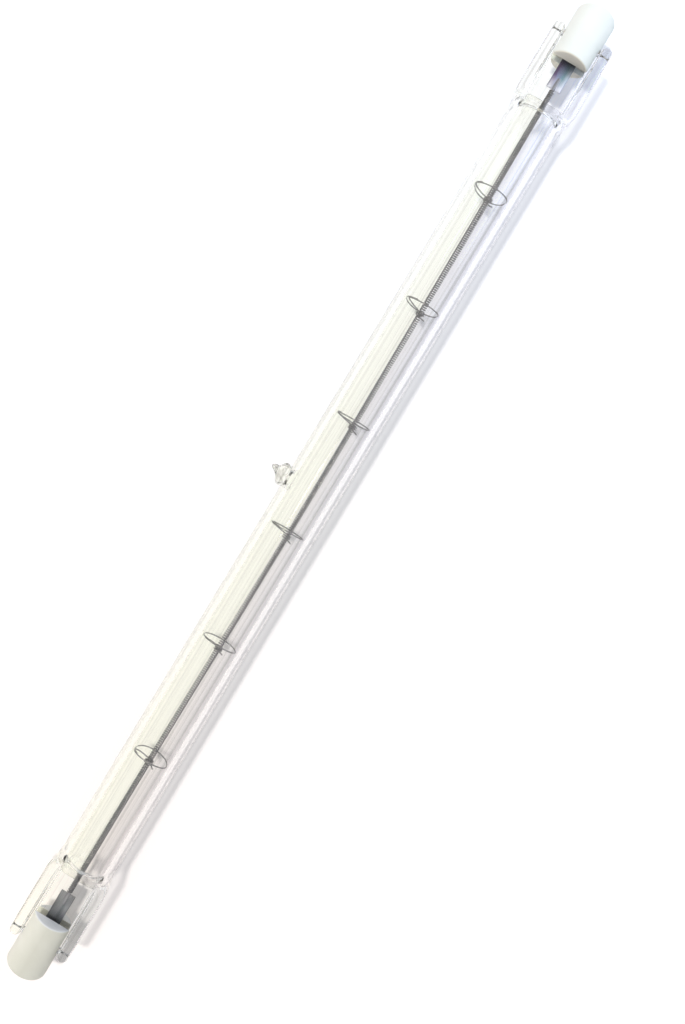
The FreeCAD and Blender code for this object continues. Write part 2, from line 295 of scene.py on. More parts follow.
def lathe(name, profile, axis="X", sides=96):
    """A turned piece from (along, radius) points, the last of which joins up with the first."""
    points, faces = [], []
    for along, radius in profile:
        for side in range(sides):
            turn = 2 * math.pi * side / sides
            a, b = radius * math.cos(turn), radius * math.sin(turn)
            points.append((along, a, b) if axis == "X" else (b, along, a))
    for row in range(len(profile)):
        below, above = row * sides, ((row + 1) % len(profile)) * sides
        for side in range(sides):
            after = (side + 1) % sides
            faces.append((below + side, above + side, above + after, below + after))
    return face_outwards(mesh_object(name, points, faces), merge=1e-7)


def quarter_round(along, radius, size, start, steps=6):
    """(along, radius) points of a quarter round with this centre, from start + 90 to start."""
    points = []
    for step in range(steps, -1, -1):
        turn = math.radians(start + 90 * step / steps)
        points.append((along + size * math.cos(turn), radius + size * math.sin(turn)))
    return points


def waver(point, waves, shift=0):
    """Smooth noise at a point, with so many waves a millimetre. The shift gives other lumps."""
    x, y, z = (place * wave for place, wave in zip(point, waves))
    return noise.noise(Vector((x, y, z + shift)))


def dress(piece, material, node):
    """Gives a piece its material and its body, and hides the node that it stands for."""
    piece.data.materials.clear()
    piece.data.materials.append(material)
    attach(piece, BODY)
    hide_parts(node)
    return piece


def dress_node(name, material):
    """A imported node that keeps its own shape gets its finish."""
    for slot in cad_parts[name].material_slots:
        slot.material = material


# Materials

class Nodes:
    """A node tree under construction."""

    def __init__(self, tree):
        self.tree = tree

    def add(self, kind, **settings):
        node = self.tree.nodes.new("ShaderNode" + kind)
        for name, value in settings.items():
            setattr(node, name, value)
        return node

    def link(self, source, target):
        self.tree.links.new(source, target)

    def ramp(self, source, *stops):
        """A colour ramp from (position, colour) stops."""
        ramp = self.add("ValToRGB")
        elements = ramp.color_ramp.elements
        while len(elements) < len(stops):
            elements.new(0.5)
        for element, (position, colour) in zip(elements, stops):
            element.position = position
            element.color = (*colour, 1.0)
        self.link(source, ramp.inputs["Fac"])
        return ramp.outputs["Color"]

    def choose(self, share, first, second):
        """One shader or the other."""
        mix = self.add("MixShader")
        self.link(share, mix.inputs["Fac"])
        self.link(first, mix.inputs[1])
        self.link(second, mix.inputs[2])
        return mix.outputs["Shader"]


class Shader(Nodes):
    """A material under construction."""

    def __init__(self, name, **values):
        self.material = bpy.data.materials.new(name)
        self.material.use_nodes = True
        super().__init__(self.material.node_tree)
        self.bsdf = self.tree.nodes["Principled BSDF"]
        self.output = self.tree.nodes["Material Output"]
        for socket, value in values.items():
            self.bsdf.inputs[socket.replace("_", " ")].default_value = value

    def split(self, output):
        """X, Y and Z of the piece's own coordinates or normal."""
        place = self.add("TexCoord")
        split = self.add("SeparateXYZ")
        self.link(place.outputs[output], split.inputs["Vector"])
        return split.outputs

    def share(self, source, low, high):
        """0 to 1 between two values."""
        share = self.add("MapRange")
        share.inputs["From Min"].default_value = low
        share.inputs["From Max"].default_value = high
        self.link(source, share.inputs["Value"])
        return share.outputs["Result"]

    def position(self, axis, low, high):
        """0 to 1 along an axis of the piece, between two places in millimetres."""
        return self.share(self.split("Object")[axis], low * MM, high * MM)

    def span(self, source, low, high):
        """A value from 0 to 1 brought to a range."""
        scale = self.add("MapRange")
        scale.inputs["To Min"].default_value = low
        scale.inputs["To Max"].default_value = high
        self.link(source, scale.inputs["Value"])
        return scale.outputs["Result"]

    def noise(self, scale, detail=4.0, rough=0.55):
        """Noise in the piece's own coordinates, with a scale per metre on each axis."""
        place = self.add("TexCoord")
        mapping = self.add("Mapping")
        mapping.inputs["Scale"].default_value = scale
        self.link(place.outputs["Object"], mapping.inputs["Vector"])
        texture = self.add("TexNoise")
        texture.inputs["Scale"].default_value = 1.0
        texture.inputs["Detail"].default_value = detail
        texture.inputs["Roughness"].default_value = rough
        self.link(mapping.outputs["Vector"], texture.inputs["Vector"])
        return texture.outputs["Fac"]

    def blend(self, share, first, second):
        """A colour on the way from one to another."""
        mix = self.add("Mix", data_type="RGBA")
        self.link(share, mix.inputs["Factor"])
        self.link(first, mix.inputs["A"])
        self.link(second, mix.inputs["B"])
        return mix.outputs["Result"]

    def multiply(self, first, second):
        """A colour toned by another."""
        mix = self.add("Mix", data_type="RGBA", blend_type="MULTIPLY")
        mix.inputs["Factor"].default_value = 1.0
        self.link(first, mix.inputs["A"])
        self.link(second, mix.inputs["B"])
        return mix.outputs["Result"]

    def colour(self, source):
        self.link(source, self.bsdf.inputs["Base Color"])

    def roughness(self, source, low, high):
        self.link(self.span(source, low, high), self.bsdf.inputs["Roughness"])

    def bump(self, source, strength, distance):
        """A relief whose distance is in metres."""
        bump = self.add("Bump")
        bump.inputs["Strength"].default_value = strength
        bump.inputs["Distance"].default_value = distance
        self.link(source, bump.inputs["Height"])
        self.link(bump.outputs["Normal"], self.bsdf.inputs["Normal"])


def grey(level):
    return (level, level, level)


def quartz_material():
    """Clear quartz with faint drawing lines, and painted light and shade: painted dark lines along the
    rims, cream painted on the side towards the key and a darker painted shade on the other.

    Light from lamps and pale surfaces goes straight through, much less so at the edges that
    face away from the key, which gives the lamp its soft shadow on one side.
    """
    shader = Shader("clear_quartz", Roughness=0.0, IOR=1.458, Transmission_Weight=1.0)
    across = shader.position("Y", -tone_half_y, tone_half_y)
    # Painted light and shade: cream on the side towards the key, a greyer or bluer painted shade on the
    # far side, and dark lines painted along the edges of the tube and wings.
    left = shader.ramp(
        across,
        (0.045, (0.8, 0.79, 0.74)),
        (0.065, (0.93, 0.91, 0.905)),
        (0.475, (0.965, 0.95, 0.93)),
        (0.525, (0.987, 1.0, 0.945)),
        (0.88, (0.987, 1.0, 0.94)),
        (0.896, (0.8, 0.8, 0.68)),
        (0.912, (0.99, 0.99, 0.9)),
        (0.938, (0.99, 0.99, 0.9)),
        (0.955, (0.45, 0.45, 0.34)),
        (0.972, (0.92, 0.92, 0.84)),
    )
    right = shader.ramp(
        across,
        (0.045, (0.8, 0.81, 0.86)),
        (0.065, (0.94, 0.945, 0.985)),
        (0.475, (0.965, 0.97, 0.985)),
        (0.525, (0.99, 0.99, 0.94)),
        (0.88, (0.987, 0.99, 0.935)),
        (0.896, (0.74, 0.74, 0.7)),
        (0.912, (0.98, 0.98, 0.94)),
        (0.938, (0.98, 0.98, 0.94)),
        (0.955, (0.45, 0.45, 0.42)),
        (0.972, (0.92, 0.92, 0.88)),
    )
    # Painted shade: the left pinch is darker on the side away from the key, with a dark line painted
    # along the wing's edge.
    left_pinch_painted_shade = shader.ramp(
        across,
        (0.065, (0.84, 0.85, 0.84)),
        (0.475, (0.9, 0.9, 0.86)),
        (0.6, (0.98, 0.98, 0.92)),
        (0.938, (0.985, 0.985, 0.91)),
        (0.955, (0.4, 0.4, 0.3)),
        (0.972, (0.9, 0.9, 0.82)),
    )
    painted_light_tint = shader.blend(shader.position("X", -tone_half_x, tone_half_x), left, right)
    painted_light_tint = shader.blend(shader.position("X", *painted_pinch_shade_x), painted_light_tint, left_pinch_painted_shade)
    streaks = shader.noise((5.0, 1700.0, 1700.0), 3.0)
    drawn = shader.ramp(streaks, (0.34, (0.84, 0.84, 0.83)), (0.46, (1.0, 1.0, 1.0)))
    shader.colour(shader.multiply(painted_light_tint, drawn))
    shader.bump(streaks, 0.09, 0.0001)
    facing = shader.add("LayerWeight").outputs["Facing"]
    lit = shader.ramp(facing, (0.0, grey(0.995)), (1.0, grey(0.96)))
    away = shader.ramp(
        facing, (0.05, grey(0.94)), (0.3, grey(0.76)), (0.6, grey(0.47)), (1.0, grey(0.3)),
    )
    clear = shader.add("BsdfTransparent")
    shader.link(shader.blend(shader.position("Y", *key_side_y), away, lit), clear.inputs["Color"])
    path = shader.add("LightPath")
    surface = shader.bsdf.outputs["BSDF"]
    for ray in ("Is Shadow Ray", "Is Diffuse Ray"):
        surface = shader.choose(path.outputs[ray], surface, clear.outputs["BSDF"])
    shader.link(surface, shader.output.inputs["Surface"])
    return shader.material


def metal_material(name, dark, light, roughness, grain):
    """A metal with fine grain, which a scale per metre on each axis can draw out lengthwise."""
    shader = Shader(name, Metallic=1.0)
    lines = shader.noise(grain, 5.0, 0.6)
    shader.colour(shader.ramp(lines, (0.3, dark), (0.7, light)))
    shader.roughness(lines, *roughness)
    shader.bump(lines, 0.25, 0.00002)
    return shader.material


def foil_material(name, direction, pale, across, dark):
    """Thin rolled foil: pale by the tube, oxide colours in bands, darkest where it enters the cap."""
    shader = Shader(name, Metallic=1.0)
    bands = shader.noise((160.0, 1500.0, 1500.0), 3.0, 0.6)
    place = shader.add("Math", operation="ADD")
    shader.link(shader.position("Y", -foil_high.y, foil_high.y), place.inputs[0])
    shader.link(shader.span(bands, -0.35, 0.35), place.inputs[1])
    hue = shader.ramp(place.outputs["Value"], *across)
    start = shader.ramp(bands, (0.3, pale[0]), (0.7, pale[1]))
    stop = shader.ramp(bands, (0.3, dark[0]), (0.7, dark[1]))
    pale_end = [direction * x for x in foil_pale_x]
    dark_start = [direction * x for x in foil_dark_x]
    hue = shader.blend(shader.position("X", *pale_end), start, hue)
    hue = shader.blend(shader.position("X", *dark_start), hue, stop)
    shader.colour(hue)
    shader.roughness(bands, 0.25, 0.5)
    shader.bump(bands, 0.4, 0.00003)
    return shader.material


def ceramic_material(name, low, high, sides=None, inner=None):
    """Unglazed pressed ceramic, with cloudy tone and a fine pitted skin.

    Light and shade are painted on: a cap's sides are toned across it as the light falls, and the end
    that faces the tube has painted light of its own.
    """
    shader = Shader(name)
    clouds = shader.noise((180.0, 180.0, 180.0), 5.0)
    colour = shader.ramp(clouds, (0.3, low), (0.7, high))
    # Painted light and shade: the sides are toned by Y, lighter where the light falls across the cap.
    if sides:
        tone = shader.ramp(shader.position("Y", -cap_high.y, cap_high.y), *sides)
        colour = shader.multiply(colour, tone)
    # Painted light: the end that faces the tube gets tones of its own, standing in for light through the
    # glass.
    if inner:
        direction, first, second = inner
        facing = shader.share(shader.split("Normal")["X"], -0.3 * direction, -0.9 * direction)
        colour = shader.blend(facing, colour, shader.ramp(clouds, (0.3, first), (0.7, second)))
    shader.colour(colour)
    grain = shader.noise((2600.0, 2600.0, 2600.0), 3.0, 0.7)
    shader.roughness(grain, 0.5, 0.72)
    shader.bump(grain, 0.3, 0.00004)
    return shader.material


def sheet_material():
    """A white sheet: white to the camera, metal and glass, and keeping the lamp's shadow, whose tones
    are painted along it.
    """
    shader = Shader("white_sheet", Roughness=1.0, Specular_IOR_Level=0.0)
    along = shader.position("X", -tone_half_x, tone_half_x)
    # Painted shadow tone: the sheet's colour shows only in shadow, pinkish at the left and bluer at the
    # right.
    shader.colour(shader.ramp(
        along, (0.0, (0.88, 0.855, 0.855)), (0.5, (0.86, 0.855, 0.87)), (1.0, (0.84, 0.855, 0.9)),
    ))
    # White lift for the camera, painted stronger and bluer at the right, where it lightens the shadow as
    # a fill light would.
    lift_and_painted_shadow_tone = shader.ramp(
        along, (0.0, (0.19, 0.175, 0.175)), (0.5, (0.18, 0.18, 0.185)), (1.0, (0.22, 0.23, 0.28)),
    )
    lift = shader.add("Emission")
    shader.link(lift_and_painted_shadow_tone, lift.inputs["Color"])
    lifted = shader.add("AddShader")
    shader.link(shader.bsdf.outputs["BSDF"], lifted.inputs[0])
    shader.link(lift.outputs["Emission"], lifted.inputs[1])
    surface = shader.choose(
        seen_directly(shader), shader.bsdf.outputs["BSDF"], lifted.outputs["Shader"],
    )
    shader.link(surface, shader.output.inputs["Surface"])
    return shader.material


def seen_directly(shader):
    """1 for rays from the camera, from metal and through glass."""
    path = shader.add("LightPath")
    first = shader.add("Math", operation="MAXIMUM")
    second = shader.add("Math", operation="MAXIMUM")
    shader.link(path.outputs["Is Camera Ray"], first.inputs[0])
    shader.link(path.outputs["Is Glossy Ray"], first.inputs[1])
    shader.link(first.outputs["Value"], second.inputs[0])
    shader.link(path.outputs["Is Transmission Ray"], second.inputs[1])
    return second.outputs["Value"]


# Quartz envelope

# A quarter of the outline has five runs of points: web, fillet, wing top, wing edge, wing side.
# Each run keeps its points all the way from the round tube to the pinch.
RUN_COUNTS = (8, 5, 7, 6, 4)
RUN_ANGLES = (90.0, 52.0, 45.0, 24.0, 13.0, 0.0)      # where the runs part on the round tube


def round_points():
    """A quarter of the tube's outline."""
    angles = []
    for first, last, count in zip(RUN_ANGLES, RUN_ANGLES[1:], RUN_COUNTS):
        angles += [first + (last - first) * i / count for i in range(count)]
    angles.append(RUN_ANGLES[-1])
    return [
        (tube_radius * math.cos(math.radians(a)), tube_radius * math.sin(math.radians(a)))
        for a in angles
    ]


def pinch_points():
    """A quarter of the pinch's outline."""
    foot_y, foot_z = wing_inner_y - web_fillet, web_half + web_fillet
    crest_y, edge_z = wing_outer_y - wing_edge_radius, wing_top_z - wing_edge_radius
    web, fillet, crown, edge, side = RUN_COUNTS
    points = [(foot_y * i / web, web_half) for i in range(web)]
    for centre_y, centre_z, wide, high, start, stop, count in (
        (foot_y, foot_z, web_fillet, web_fillet, -90, 0, fillet),
        (crest_y, foot_z, crest_y - wing_inner_y, wing_top_z - foot_z, 180, 90, crown),
        (crest_y, edge_z, wing_edge_radius, wing_edge_radius, 90, 0, edge),
    ):
        for i in range(count):
            turn = math.radians(start + (stop - start) * i / count)
            points.append((centre_y + wide * math.cos(turn), centre_z + high * math.sin(turn)))
    points += [(wing_outer_y, edge_z * (1 - i / side)) for i in range(side + 1)]
    return points


def whole_ring(quarter):
    """The closed outline made by a quarter and its three mirror images."""
    back = list(reversed(quarter))
    ring = quarter[:-1] + [(y, -z) for y, z in back[:-1]]
    ring += [(-y, -z) for y, z in quarter[:-1]] + [(-y, z) for y, z in back[:-1]]
    return ring


def envelope_ring(x, pressed):
    """The outside of the envelope at x, with the slight unevenness of drawn and pressed glass."""
    quarter = []
    for (a_y, a_z), (b_y, b_z) in zip(round_points(), pinch_points()):
        quarter.append((a_y + (b_y - a_y) * pressed, a_z + (b_z - a_z) * pressed))
    ring = []
    for y, z in whole_ring(quarter):
        way = Vector((0, y, z)).normalized()
        rough = waver((x, way.y, way.z), drawn_waves)
        lumps = waver((x, y, z), pressed_waves, 7)
        depth = -drawn_unevenness * (1 + rough) - pressed * pressed_unevenness * (1 + lumps)
        ring.append(tuple(Vector((x, y, z)) + way * depth))
    return ring


def stations(straight=40, shoulder=20, flat=26):
    """(x, how far pressed) of the envelope's rings, from the middle out."""
    rows = [(tube_end_x * i / straight, 0.0) for i in range(straight)]
    for i in range(shoulder + 1):
        share = i / shoulder
        rows.append((tube_end_x + shoulder_length * share, ease(share)))
    rows += [(web_flat_x + (web_end_x - web_flat_x) * i / flat, 1.0) for i in range(1, flat + 1)]
    return rows


def add_noses(points, faces, ring_start, count, direction, inner_steps=4, loops=9):
    """Closes the web's end flat and carries the two wings on to their blunt ends."""
    def add_face(corners):
        faces.append(tuple(corners) if direction > 0 else tuple(reversed(corners)))

    quarter = sum(RUN_COUNTS)
    foot = sum(RUN_COUNTS[:2])
    arcs = [
        [ring_start + i for i in range(foot, 2 * quarter - foot + 1)],
        [ring_start + (2 * quarter + i) % count for i in range(foot, 2 * quarter - foot + 1)],
    ]
    inners = []
    for arc in arcs:
        start, stop = Vector(points[arc[-1]]), Vector(points[arc[0]])
        inner = []
        for i in range(1, inner_steps):
            points.append(tuple(start.lerp(stop, i / inner_steps)))
            inner.append(len(points) - 1)
        inners.append(inner)
    first_web = [ring_start + i % count for i in range(-foot, foot + 1)]
    second_web = [ring_start + 2 * quarter + i for i in range(-foot, foot + 1)]
    add_face(first_web + inners[0][::-1] + second_web + inners[1][::-1])
    nose = wing_width / 2
    for arc, inner in zip(arcs, inners):
        loop = arc + inner
        middle_y = math.copysign(wing_inner_y + nose, points[arc[len(arc) // 2]][1])
        base = [Vector(points[i]) for i in loop]
        for step in range(1, loops + 1):
            turn = math.radians(nose_turn * step / loops)
            narrow = math.cos(turn) ** nose_bluntness
            x = direction * (web_end_x + nose * math.sin(turn) ** nose_bluntness)
            past = max(abs(x) - (wing_end_x - wing_nose_radius), 0.0) / wing_nose_radius
            drop = max(1 - past ** (2 / nose_bluntness), 0.0) ** (nose_bluntness / 2)
            shrink = 1 - wing_nose_radius * (1 - drop) / wing_top_z * nose_fall
            new_loop = []
            for p in base:
                points.append((x, middle_y + (p.y - middle_y) * narrow, p.z * shrink))
                new_loop.append(len(points) - 1)
            for i in range(len(loop)):
                j = (i + 1) % len(loop)
                add_face((loop[i], loop[j], new_loop[j], new_loop[i]))
            loop = new_loop
        add_face(loop)


def envelope_outside():
    """The envelope's outside, without the exhaust tip."""
    rows = stations()
    places = [(-x, pressed) for x, pressed in reversed(rows[1:])] + rows
    rings = [envelope_ring(x, pressed) for x, pressed in places]
    points, faces = rings_mesh(rings, closed=False)
    count = len(rings[0])
    add_noses(points, faces, len(points) - count, count, 1)
    add_noses(points, faces, 0, count, -1)
    return face_outwards(mesh_object("quartz_glass", points, faces))


def cavity_ring(x, half_y, half_z, sides=72):
    """The hollow's outline at x, uneven where the press has closed on it."""
    pressed = max(0.0, abs(x) - tube_end_x) / (cavity_end_x - tube_end_x)
    ring = []
    for side in range(sides):
        turn = 2 * math.pi * (side + 0.5) / sides
        y, z = half_y * math.cos(turn), half_z * math.sin(turn)
        lumps = waver((x, y, z), cavity_waves, 11)
        shrink = 1 - cavity_unevenness * ease(pressed) * (1 + lumps)
        ring.append((x, y * shrink, z * shrink))
    return ring


def cavity(straight=30, closing=22):
    """The space inside the tube, closing to a slit at each end."""
    rows = [(tube_end_x * i / straight, bore_radius, bore_radius) for i in range(straight)]
    for i in range(closing + 1):
        share = i / closing
        flat, held = ease(share), share ** cavity_hold
        half_y = bore_radius + cavity_spread * flat * (1 - held)
        half_y += (cavity_end_y - bore_radius) * held
        half_z = bore_radius + (cavity_end_z - bore_radius) * flat
        rows.append((tube_end_x + (cavity_end_x - tube_end_x) * share, half_y, half_z))
    rows = [(-x, y, z) for x, y, z in reversed(rows[1:])] + rows
    points, faces = rings_mesh([cavity_ring(*row) for row in rows])
    return face_outwards(mesh_object("cavity", points, faces))


def tip_stub():
    """The fused end of the exhaust tubulation: a folded dome with a drawn-off, leaning nipple."""
    root_y = bore_radius + tip_root[0]
    profile = [(root_y, 0.0), (root_y, tip_root[1])]
    profile += [(tube_radius + tip_height * share, radius) for share, radius in tip_outline]
    profile.append((tube_radius + tip_height, 0.0))
    piece = lathe("tip_stub", profile, "Y", 64)
    for vertex in piece.data.vertices:
        p = vertex.co / MM
        rise = max(0.0, min(1.0, (p.y - tube_radius) / tip_height))
        turn = math.atan2(p.z, p.x)
        folds = math.cos(tip_fold_count * turn + tip_fold_turn)
        folds *= tip_fold_depth * rise * (1 - rise) * 4
        lumps = tip_lump_depth * rise * waver(p, tip_lump_waves, 3)
        facets = tip_facet_depth * rise ** 0.5 * waver(p, tip_facet_waves, 5)
        shrink = 1 + folds + lumps + facets - tip_slimming
        lean = tip_lean * rise ** 2
        vertex.co = Vector((p.x * shrink + lean, p.y, p.z * shrink)) * MM
    return piece


def tip_space():
    """The hollow under the tip."""
    root_y = bore_radius - tip_space_root[0]
    profile = [(root_y, 0.0), (root_y, tip_space_root[1])]
    for share, radius in tip_space_outline:
        profile.append((bore_radius + tip_space_depth * share, radius))
    profile.append((bore_radius + tip_space_depth, 0.0))
    return lathe("tip_space", profile, "Y", 48)


def make_glass(material):
    """The tube, its pinches and the exhaust tip as one hollow piece."""
    glass = boolean(envelope_outside(), tip_stub(), "UNION")
    hollow = boolean(cavity(), tip_space(), "UNION")
    glass = boolean(glass, hollow, "DIFFERENCE")
    glass.data.shade_smooth()
    sharpen(glass, 50)
    return dress(glass, material, "quartz_envelope")


# Coil and supports

def tube_along(name, path, radius, sides):
    """A round wire along points in millimetres, capped at both ends."""
    rings = []
    reference = Vector((0, 0, 1))
    for index, point in enumerate(path):
        along = path[min(index + 1, len(path) - 1)] - path[max(index - 1, 0)]
        along.normalize()
        across = along.cross(reference)
        if across.length < 1e-3:
            across = along.cross(Vector((0, 1, 0)))
        across.normalize()
        reference = across.cross(along).normalized()
        ring = []
        for side in range(sides):
            turn = 2 * math.pi * side / sides
            out = across * math.cos(turn) + reference * math.sin(turn)
            ring.append(tuple(point + out * radius))
        rings.append(ring)
    return mesh_object(name, *rings_mesh(rings))


def sag(x):
    """How far the coil hangs off the tube's axis at x, towards -Y."""
    if abs(x) >= tube_end_x:
        return 0.0
    fullness = sag_left_fullness if x < 0 else sag_right_fullness
    return -coil_sag * math.cos(math.pi * x / (2 * tube_end_x)) ** fullness


def make_coil(material, steps_per_turn=12, wire_sides=6):
    """The close-wound tungsten coil, as its real helix of wire."""
    middle = coil_radius - coil_wire / 2
    length = 2 * (coil_end_x - coil_wire / 2)
    turns = length / coil_pitch
    count = int(turns * steps_per_turn)
    path = []
    for i in range(count + 1):
        x = -length / 2 + length * i / count
        turn = 2 * math.pi * turns * i / count
        path.append(Vector((x, sag(x) + middle * math.cos(turn), middle * math.sin(turn))))
    coil = tube_along("coil_wire", path, coil_wire / 2, wire_sides)
    # The real tube bends light round the coil and leaves no streak of shadow beside it.
    coil.visible_shadow = False
    return dress(coil, material, "filament_coil")


def support_place(turn, grip, ring):
    """(advance, radius, hold) of a support's wire after so many turns. Hold is 1 on the coil."""
    past_tail = turn - tail_turns
    past_tight = past_tail - tight_turns
    past_leg = past_tight - leg_turns
    if past_tail < 0:
        share = 1 - turn / tail_turns
        return -tail_advance * share, grip + tail_rise * share ** 2, 1.0
    if past_tight < 0:
        return tight_pitch * past_tail, grip, 1.0
    leg_start = tight_pitch * tight_turns
    if past_leg < 0:
        share = ease(past_tight / leg_turns)
        return leg_start + leg_advance * share, grip + (ring - grip) * share, 1 - share
    return leg_start + leg_advance + ring_pitch * past_leg, ring, 0.0


def make_support(number, material, steps=190, wire_sides=10):
    """One support wire: tail, tight turns on the coil, leg and a ring centred in the tube."""
    node = f"filament_support_{number}"
    start_x = node_box(node)[0].x + support_tail + support_wire / 2 + support_shifts[number - 1]
    grip = coil_radius + support_grip_gap + support_wire / 2
    ring = bore_radius - support_wall_gap - support_wire / 2
    turned = math.radians(support_angles[number - 1])
    turns = tail_turns + tight_turns + leg_turns + ring_turns
    path = []
    for i in range(steps + 1):
        turn = turns * i / steps
        advance, radius, hold = support_place(turn, grip, ring)
        angle = 2 * math.pi * turn + turned
        x = start_x + advance
        path.append(Vector((x, sag(x) * hold + radius * math.cos(angle), radius * math.sin(angle))))
    wire = tube_along(f"support_wire_{number}", path, support_wire / 2, wire_sides)
    return dress(wire, material, node)


# Ends

def make_cap(side, direction, material):
    """A ceramic barrel with softened edges, a recess and the slot that straddles the web."""
    radius = cap_high.y
    inner_x, outer_x = cap_low.x, cap_high.x
    profile = [(inner_x, shank_bore)]
    profile += quarter_round(inner_x + cap_inner_round, radius - cap_inner_round, cap_inner_round, 90)
    profile += quarter_round(outer_x - cap_end_round, radius - cap_end_round, cap_end_round, 0, 10)
    profile += [
        (outer_x, recess_radius + mouth_chamfer), (outer_x - mouth_chamfer, recess_radius),
        (ledge_x, recess_radius), (ledge_x, seat_radius), (floor_x, seat_radius), (floor_x, shank_bore),
    ]
    cap = lathe("cap", [(direction * x, r) for x, r in profile])
    past = 1                  # how far the slot's cutter stands out of the barrel
    corners = [
        (direction * x, y, z)
        for x in (inner_x - past, cement_high.x)
        for y in (-radius - past, radius + past)
        for z in (-cement_high.z, cement_high.z)
    ]
    sides = [(0, 1, 3, 2), (4, 6, 7, 5), (0, 4, 5, 1), (2, 3, 7, 6), (0, 2, 6, 4), (1, 5, 7, 3)]
    slot = face_outwards(mesh_object("slot", corners, sides, smooth=False))
    cap = boolean(cap, slot, "DIFFERENCE")
    cap.name = f"ceramic_barrel_{side}"
    cap.data.shade_smooth()
    sharpen(cap, 30)
    return dress(cap, material, f"ceramic_cap_{side}")


def make_contact(side, direction, material, crown_steps=8):
    """The crowned contact button in the recess."""
    face_x, inner_x = contact_high.x, contact_low.x
    head = contact_high.y
    crown = head - contact_edge_round
    profile = [(inner_x, lead_hole), (lead_hole_end_x, lead_hole), (lead_hole_end_x, 0.0), (face_x, 0.0)]
    for i in range(1, crown_steps):
        share = i / crown_steps
        profile.append((face_x - contact_crown * share ** 2, crown * share))
    profile += quarter_round(face_x - contact_crown - contact_edge_round, crown, contact_edge_round, 0)
    profile += [(floor_x, head), (floor_x, contact_shank), (inner_x, contact_shank)]
    button = lathe("button", [(direction * x, r) for x, r in profile], sides=64)
    button.name = f"contact_{side}"
    sharpen(button, 40)
    return dress(button, material, f"contact_button_{side}")


def make_foil(side, direction, material, columns=48, rows=16):
    """The sealing foil, with feathered long edges."""
    half = foil_high.y
    flat = half - foil_feather
    thick = foil_high.z - foil_low.z
    middle_z = (foil_high.z + foil_low.z) / 2
    points = []
    for layer in (1, -1):
        for i in range(columns + 1):
            x = foil_low.x + (foil_high.x - foil_low.x) * i / columns
            for j in range(rows + 1):
                y = -half + 2 * half * j / rows
                share = 1 if abs(y) < flat else max(0.0, (half - abs(y)) / (half - flat))
                points.append((direction * x, y, middle_z + layer * thick / 2 * share))
    faces = []
    stride = rows + 1
    size = (columns + 1) * stride
    for i in range(columns):
        for j in range(rows):
            a = i * stride + j
            faces.append((a, a + stride, a + stride + 1, a + 1))
            faces.append((size + a, size + a + 1, size + a + stride + 1, size + a + stride))
    for i in (0, columns):
        for j in range(rows):
            a = i * stride + j
            faces.append((a, a + 1, size + a + 1, size + a))
    foil = face_outwards(mesh_object(f"foil_{side}", points, faces), merge=1e-8)
    return dress(foil, material, f"sealing_foil_{side}")


# Stage

def make_sheet():
    half, low_z = SHEET_HALF_M, cad_box[0].z
    corners = [(-half, -half, low_z), (half, -half, low_z), (half, half, low_z), (-half, half, low_z)]
    mesh = bpy.data.meshes.new("floor")
    mesh.from_pydata(corners, [], [(0, 1, 2, 3)])
    mesh.materials.append(sheet_material())
    add_object("floor", mesh)


def make_world():
    """A pale studio, greyer towards the horizon, most of all where glass and metal show it."""
    world = bpy.data.worlds.new("studio")
    bpy.context.scene.world = world
    world.use_nodes = True
    world.node_tree.nodes.clear()
    nodes = Nodes(world.node_tree)
    output = nodes.add("OutputWorld")
    path = nodes.add("LightPath")
    place = nodes.add("TexCoord")
    split = nodes.add("SeparateXYZ")
    nodes.link(place.outputs["Generated"], split.inputs["Vector"])

    def sky(strength, *stops):
        background = nodes.add("Background")
        background.inputs["Strength"].default_value = strength
        tone = nodes.ramp(split.outputs["Z"], *[(height, grey(level)) for height, level in stops])
        nodes.link(tone, background.inputs["Color"])
        return background.outputs["Background"]

    surface = sky(SKY_STRENGTH, (0.0, 0.72), (0.55, 1.0))
    seen = sky(1.0, (0.0, 0.12), (0.12, 0.5), (0.4, 1.0))
    white = sky(1.0, (0.0, 1.0), (1.0, 1.0))
    for ray, shown in (
        ("Is Glossy Ray", seen),
        ("Is Transmission Ray", seen),
        ("Is Camera Ray", white),
    ):
        surface = nodes.choose(path.outputs[ray], surface, shown)
    nodes.link(surface, output.inputs["Surface"])


def make_lights():
    """A soft key high up on the exhaust tip's side, and a weak blue fill by the right-hand end."""
    data = bpy.data.lights.new("key", "SUN")
    data.energy = KEY_STRENGTH
    data.angle = math.radians(KEY_SPREAD)
    data.color = KEY_COLOUR
    key = add_object("key", data)
    key.rotation_euler = (math.radians(KEY_LEAN), 0, 0)
    key.visible_glossy = False
    data = bpy.data.lights.new("fill", "AREA")
    data.energy = FILL_POWER
    data.size = FILL_SIZE * MM
    data.color = FILL_COLOUR
    fill = add_object("fill", data)
    fill.location = Vector(FILL_PLACE) * MM
    aim = Vector(FILL_AIM) * MM - fill.location
    fill.rotation_euler = aim.to_track_quat("-Z", "Y").to_euler()


def follow_light_in_glass():
    """Light runs along the thick glass by many inner reflections before it comes out."""
    cycles = bpy.context.scene.cycles
    cycles.glossy_bounces = GLASS_BOUNCES
    cycles.transmission_bounces = GLASS_BOUNCES
    cycles.max_bounces = GLASS_BOUNCES


def make_camera():
    """Straight above the lamp's centre, and turned and shifted as the photograph shows it."""
    data = bpy.data.cameras.new("camera")
    data.sensor_width = SENSOR
    long_side = max(PICTURE)
    data.lens = AXIS_SCALE * CAMERA_HEIGHT / long_side * SENSOR
    data.shift_x = (PICTURE[0] / 2 - LAMP_CENTRE[0]) / long_side
    data.shift_y = (LAMP_CENTRE[1] - PICTURE[1] / 2) / long_side
    data.clip_start, data.clip_end = CLIP_M
    camera = add_object("camera", data)
    camera.location = (0, 0, CAMERA_HEIGHT * MM)
    camera.rotation_euler = (0, 0, -math.radians(AXIS_TILT))
    bpy.context.scene.camera = camera


